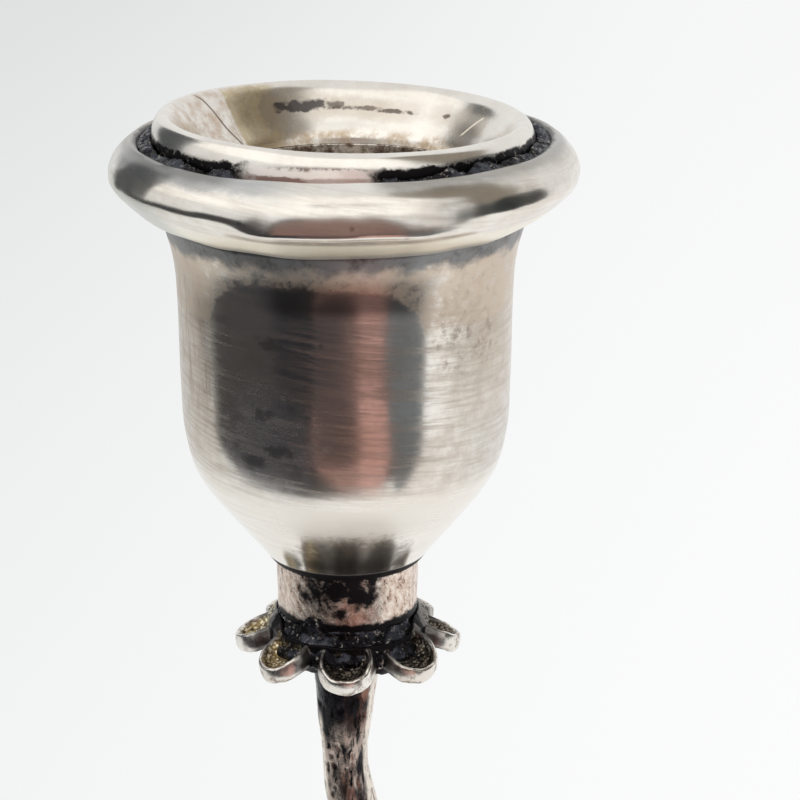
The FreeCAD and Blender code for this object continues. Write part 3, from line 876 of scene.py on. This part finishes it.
class Flower:
    """A ring of petals that tip down and outwards. Its section runs from the middle of a petal's underside,
    round the edge, to the middle of its top, in shares of the petal's radius and heights over its middle.
    Inside the root radius the petals sink under the crust."""

    def __init__(self, level, tip, length, width, tilt, section, root=0.0):
        self.level = level
        self.tip = tip
        self.length = length
        self.width = width
        self.tilt = math.radians(tilt)
        self.section = section
        self.root = root

    def petal(self, i):
        """Where petal i is, and its length and width. No two are quite the same."""
        tilt = self.tilt + 0.05 * math.sin(i * 1.7 + 1)
        length = self.length * (1 + 0.03 * math.sin(i * 2.9))
        width = self.width * (1 + 0.04 * math.sin(i * 2.3))
        out = Matrix.Translation((self.tip - length * math.cos(tilt), 0.0, self.level))
        turn = Matrix.Rotation(2 * math.pi * (i / PETALS - 0.25) + 0.03 * math.sin(i * 3.1), 4, "Z")
        lean = Matrix.Rotation(tilt, 4, "Y") @ Matrix.Rotation(0.16 * math.sin(i * 2.1 + 0.4), 4, "X")
        return turn @ out @ lean, length, width

    def add_to(self, mesh):
        around = 64
        for i in range(PETALS):
            place, length, width = self.petal(i)
            rings = []
            for share, height in smooth(self.section, 0.08):
                ring = []
                for k in range(around):
                    t = 2 * math.pi * k / around
                    at = Vector((length * share * math.cos(t), width * share * math.sin(t), height))
                    ring.append(mesh.verts.new(place @ at))
                rings.append(ring)
            bridge(mesh, rings)
            mesh.faces.new(rings[0])
            mesh.faces.new(rings[-1])


CALYX = Flower(level=COLLAR_BOTTOM - 1.75, tip=10.4, length=2.8, width=2.55, tilt=27.0,
               section=[(0.0, -1.75), (0.55, -1.75), (0.88, -1.68), (0.97, -1.5), (1.0, -1.25), (0.99, -0.8),
                        (0.94, -0.3), (0.87, 0.02), (0.81, 0.04), (0.75, -0.14), (0.62, -0.6), (0.34, -0.92),
                        (0.0, -1.0)],
               root=7.3)
ROSETTE = Flower(level=DOME_TOP + 0.7, tip=14.3, length=4.2, width=3.9, tilt=24.0,
                 section=[(0.0, -0.8), (0.9, -0.8), (1.0, -0.45), (0.98, -0.05), (0.8, 0.5), (0.4, 1.0),
                          (0.0, 1.15)])


def flower_piece(name, flower, plate, voxel):
    """The petals and the plate they spring from, as one skin that knows its hollows and its crevices."""
    mesh = bmesh.new()
    flower.add_to(mesh)
    add_turned(mesh, plate, 96)
    made = fused(settled(name, mesh), voxel, smoothing=2)
    petals = [flower.petal(i) for i in range(PETALS)]
    petals = [(place.inverted(), length, width) for place, length, width in petals]
    hollows = []
    crevices = []
    for vertex in made.data.vertices:
        nearest = []
        for into, length, width in petals:
            at = into @ vertex.co
            nearest.append((math.hypot(at.x / length, at.y / width), at.z))
        share, height = min(nearest)
        from_axis = math.hypot(vertex.co.x, vertex.co.y)
        bearing = right_of_front(math.atan2(vertex.co.y, vertex.co.x))
        root = flower.root - ROOT_BEHIND * ease(abs(bearing), *CRUST_ENDS)
        hollows.append(ease(share, 0.79, 0.68) * ease(height, -1.35, -1.2))
        crevices.append(max(ease(share, 1.02, 1.12), ease(from_axis, root + 0.2, root - 0.3),
                            ease(height, -1.5, -1.75)))
        vertex.co.z -= 1.3 * ease(from_axis, root, root - 1.1) * ease(from_axis, 5.6, 6.0)
        if share > 0.6:
            vertex.co.z += 0.16 * noise.noise(vertex.co / 1.3) + 0.05 * noise.noise(vertex.co / 0.5)
    marked(made, "hollow", hollows)
    return marked(made, "crevice", crevices)


def calyx(material):
    plate = above(COLLAR_BOTTOM, [(STUD_HOLE, 0.0), (6.4, 0.0), (7.2, -1.0), (7.3, -2.2), (6.2, -2.8),
                                  (4.9, CALYX_BOSS), (STUD_HOLE, CALYX_BOSS)])
    made = flower_piece("calyx_fine", CALYX, plate, 0.09)
    placed(made, "stand", "gilt_silver", material, "calyx", sharp=70)


def rosette(material):
    plate = above(DOME_TOP, [(STALK_HOLE, 0.0), (8.2, 0.0), (9.2, 0.9), (8.2, 2.4), (STALK_HOLE, 2.4)])
    made = flower_piece("foot_rosette_fine", ROSETTE, plate, 0.14)
    placed(made, "stand", "polished_silver", material, "foot_rosette", sharp=70)


# ---------------------------------------------------------------- the stalk

# Depth below the stalk's top, sideways bend along X, and radius.
STALK_SECTIONS = [
    (0.0, 0.0, 4.3), (1.6, -0.06, 3.35), (4.0, -0.18, 2.85), (8.0, -0.32, 2.42), (12.2, -0.35, 2.07),
    (16.0, 0.2, 2.25), (25.0, 2.1, 2.45), (40.0, 4.9, 2.65), (57.0, 6.2, 2.95), (74.0, 4.8, 3.3),
    (90.0, 2.0, 3.7), (101.0, 0.5, 4.25), (STALK_TOP - STALK_BOTTOM - 2.0, 0.05, 5.1),
    (STALK_TOP - STALK_BOTTOM, 0.0, 5.8),
]


def stalk(material):
    sections = [*smooth(STALK_SECTIONS, 0.22), Vector(STALK_SECTIONS[-1])]
    around = 96
    mesh = bmesh.new()
    rings = []
    for depth, bend, radius in sections:
        ring = []
        for i in range(around):
            t = 2 * math.pi * i / around
            at = (bend + radius * math.cos(t), radius * math.sin(t), STALK_TOP - depth)
            ring.append(mesh.verts.new(at))
        rings.append(ring)
    bridge(mesh, rings)
    mesh.faces.new(rings[0])
    mesh.faces.new(rings[-1])
    stem = settled("stalk_fine", mesh)

    def pitted(place):
        coarse = noise.noise(Vector((place.x, place.y, place.z * 0.35)) / 1.4)
        pit = max(0.0, noise.noise(Vector((place.x, place.y, place.z * 0.5)) / 0.5) - 0.2)
        return 0.13 * coarse - 0.4 * pit

    placed(roughened(stem, pitted), "stand", "oxidised_silver", material, "stalk", sharp=70)


# ---------------------------------------------------------------- the foot

DOME_PROFILE = [(8.2, 0.0), (10.0, -2.4), (14.7, -4.8), (22.0, -6.7), (30.0, -8.5), (37.0, -10.4),
                (40.7, -12.4), (42.0, -DOME_HEIGHT)]
EDGE_PROFILE = [(0.0, 0.8), (1.9, 1.0), (3.4, 1.9), (4.0, 3.4), (3.5, 5.0), (2.3, 6.1), (1.5, 6.3),
                (1.1, 6.15), (1.0, EDGE_TOP)]


def foot(polished, cloth):
    inside = FOOT_EDGE - 1.0
    skirt = DOME_TOP - DOME_HEIGHT
    profile = [Vector((STALK_HOLE, DOME_TOP)), *smooth(above(DOME_TOP, DOME_PROFILE), 0.5),
               Vector((FOOT_EDGE, skirt)), Vector((FOOT_EDGE, PAD_TOP)), Vector((inside, PAD_TOP)),
               Vector((inside, skirt)), Vector((STALK_HOLE, DOME_TOP - 1.0))]
    dome = turned("foot_dome_fine", profile, 300, uneven(0.06, 12.0, seed=15.0))
    placed(dome, "stand", "polished_silver", polished, "foot_dome")
    edge = smooth([(FOOT_EDGE + out, height) for out, height in EDGE_PROFILE], 0.25)
    edge = [*edge, Vector((FOOT_EDGE + 1.0, EDGE_TOP)), Vector((FOOT_EDGE, EDGE_TOP))]
    bead = turned("foot_moulding_fine", edge, 300, uneven(0.06, 8.0, seed=5.0))
    placed(bead, "stand", "polished_silver", polished, "foot_moulding")
    disc = [(0.01, 0.0), (41.3, 0.0), (41.6, 0.3), (41.6, PAD_TOP), (0.01, PAD_TOP)]
    pad = turned("base_pad_fine", disc, 160)
    placed(pad, "stand", "felt", cloth, "base_pad")


def finish_hidden_parts(inside):
    """Gives the CAD nodes that stay as they are a material of their own."""
    steel = plain_metal("steel_turned", tone(176, 176, 178), 0.3)
    finishes = {
        "nozzle_floor": inside,
        "foot_plate": plain_metal("plate_metal", tone(190, 186, 178), 0.35),
        "ballast": plain_metal("iron_cast", tone(74, 74, 76), 0.6),
    }
    for node in ("nozzle_floor", "foot_plate", "ballast", "socket_washer", "socket_nut", "socket_stud",
                 "foot_washer", "foot_nut", "foot_stud"):
        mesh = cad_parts[node].data
        mesh.materials.clear()
        mesh.materials.append(finishes.get(node, steel))


# ---------------------------------------------------------------- the studio

CAMERA_PLACE = Vector((4.68, -189.56, SEAT + 41.0)) * MM
CAMERA_PITCH = 18.59


def camera():
    data = bpy.data.cameras.new("camera")
    data.lens = 103.6
    data.sensor_width = 36.0
    data.clip_start = 0.01
    data.clip_end = 20.0
    made = new_object("camera", data)
    made.location = CAMERA_PLACE
    made.rotation_euler = (math.radians(90 - CAMERA_PITCH), 0, 0)
    bpy.context.scene.camera = made


def glowing(name, colour, strength=1.0):
    """A material that only gives off light."""
    material = bpy.data.materials.new(name)
    material.use_nodes = True
    shader = material.node_tree.nodes["Principled BSDF"]
    fill(shader, {"Base Color": (0, 0, 0, 1), "Specular IOR Level": 0.0})
    fill(shader, {"Emission Color": colour, "Emission Strength": strength})
    return material


def floor_white():
    """A white sweep that glows a little, with painted shade that makes it a touch darker far away on the left.
    """
    recipe = Recipe("floor_white", metallic=0.0)
    away = recipe.x - recipe.y * 0.1
    shade = recipe.mix(away.step(120.0, -420.0), tone(248, 248, 248), tone(224, 226, 225))
    recipe.feed(recipe.shader.inputs["Emission Color"], shade)
    fill(recipe.shader, {"Specular IOR Level": 0.0, "Emission Strength": 0.55})
    lit = recipe.mix(0.5, shade, (0.0, 0.0, 0.0, 1.0))
    return recipe.done(lit, 1.0)


def card(name, left, right, low, high, colour, strength=1.0, *, near, far, square=60.0, widest=None):
    """A curved card round the candlestick that only reflections see, in metres. near and far are its
    distances at its lower and its upper edge, a smaller square rounds its corners more, and widest is the
    height at which it is widest, half-way up if not given."""
    steps = 60
    if widest is None:
        widest = (low + high) / 2
    points = []
    for i in range(steps + 1):
        share = i / steps
        angle = math.radians(left + (right - left) * share)
        reach = (1 - abs(2 * share - 1) ** square) ** (1 / square)
        for height in (widest + (low - widest) * reach, widest + (high - widest) * reach):
            distance = near + (far - near) * (height - low) / (high - low)
            points.append((distance * math.sin(angle), -distance * math.cos(angle), height))
    faces = [(2 * i, 2 * i + 2, 2 * i + 3, 2 * i + 1) for i in range(steps)]
    data = bpy.data.meshes.new(name)
    data.from_pydata(points, [], faces)
    data.materials.append(glowing(name, colour, strength))
    made = new_object(name, data)
    made.visible_camera = False
    made.visible_diffuse = False
    made.visible_shadow = False


def studio():
    floor = bpy.data.meshes.new("floor")
    floor.from_pydata([(-6, -6, 0), (6, -6, 0), (6, 6, 0), (-6, 6, 0)], [], [(0, 1, 2, 3)])
    floor.materials.append(floor_white())
    new_object("floor", floor)

    top = 0.132
    card("dark_room", -100, 57, 0.008, top, tone(54, 54, 58), near=0.145, far=0.16, square=1.9, widest=top)
    card("room_light", -94, -46, 0.104, 0.1215, tone(66, 64, 65), near=0.1445, far=0.151, square=3.0)
    card("dark_centre", -44, -19, 0.105, 0.1175, tone(24, 26, 32), near=0.144, far=0.15, square=5.0)
    card("grey_side", 28, 55, 0.026, top, tone(108, 114, 118), near=0.144, far=0.159, square=1.9, widest=top)
    card("pink_frame", -20.8, 29, 0.028, 0.1138, tone(168, 134, 126), near=0.143, far=0.156, square=1.8,
         widest=0.099)
    card("pink_bright", 9, 28.5, 0.028, 0.1145, tone(208, 164, 156), near=0.142, far=0.155, square=3.6,
         widest=0.099)
    card("pink_dark", -19, 10, 0.083, 0.1134, tone(84, 70, 70), near=0.141, far=0.154, square=2.0, widest=0.101)
    card("dark_figure", -35, 29, 0.08, 0.25, tone(136, 110, 103), near=0.192, far=0.192, square=2.0, widest=0.13)
    card("figure_edge", -44, 33, 0.08, 0.258, tone(56, 56, 60), near=0.193, far=0.193, square=2.0, widest=0.13)
    card("arm", 18, 52, 0.1, 0.156, tone(104, 94, 90), near=0.194, far=0.194, square=4.0)
    card("horizon", -114, -43, 0.1, 0.16, tone(52, 56, 60), near=0.2, far=0.2)
    card("left_object", -140, -102, 0.12, 0.34, tone(76, 80, 82), near=0.198, far=0.198, square=2.5)
    card("right_object", 53, 104, 0.118, 0.255, tone(46, 50, 50), near=0.2, far=0.2, square=2.5)
    card("right_wall", 45, 108, 0.24, 0.75, tone(140, 133, 122), near=0.205, far=0.205, square=3.0)
    card("ceiling", -116, 46, 0.262, 0.56, (1.0, 0.99, 0.97, 1.0), 1.2, near=0.21, far=0.15)

    world = bpy.data.worlds.new("world")
    bpy.context.scene.world = world
    world.use_nodes = True
    background = world.node_tree.nodes["Background"]
    fill(background, {"Color": (0.99, 0.995, 1.0, 1), "Strength": 0.86})

    softbox = bpy.data.lights.new("softbox", "AREA")
    softbox.size = 0.7
    softbox.energy = 2.0
    lamp = new_object("softbox", softbox)
    lamp.location = (0.35, -0.3, 0.9)
    lamp.rotation_euler = (Vector((0, 0, 0.15)) - lamp.location).to_track_quat("-Z", "Y").to_euler()
    lamp.visible_glossy = False

    bpy.context.scene.view_settings.view_transform = "Standard"


# ---------------------------------------------------------------- everything

polished = Silver("polished_silver", haze=0.4, brushed=0.5).ready()
inside = silver_inside()
crust = solder_black()
nozzle_pieces(lip_silver(), inside)
moulding(bead_silver())
groove_residue(crust)
cup(cup_silver())
collar(tarnished_silver())
solder(crust)
calyx(petal_silver("gilt_silver", stippled=True))
stalk(oxidised_silver("oxidised_silver"))
rosette(petal_silver("rosette_silver", stippled=False))
foot(polished, felt())
finish_hidden_parts(inside)
studio()
camera()
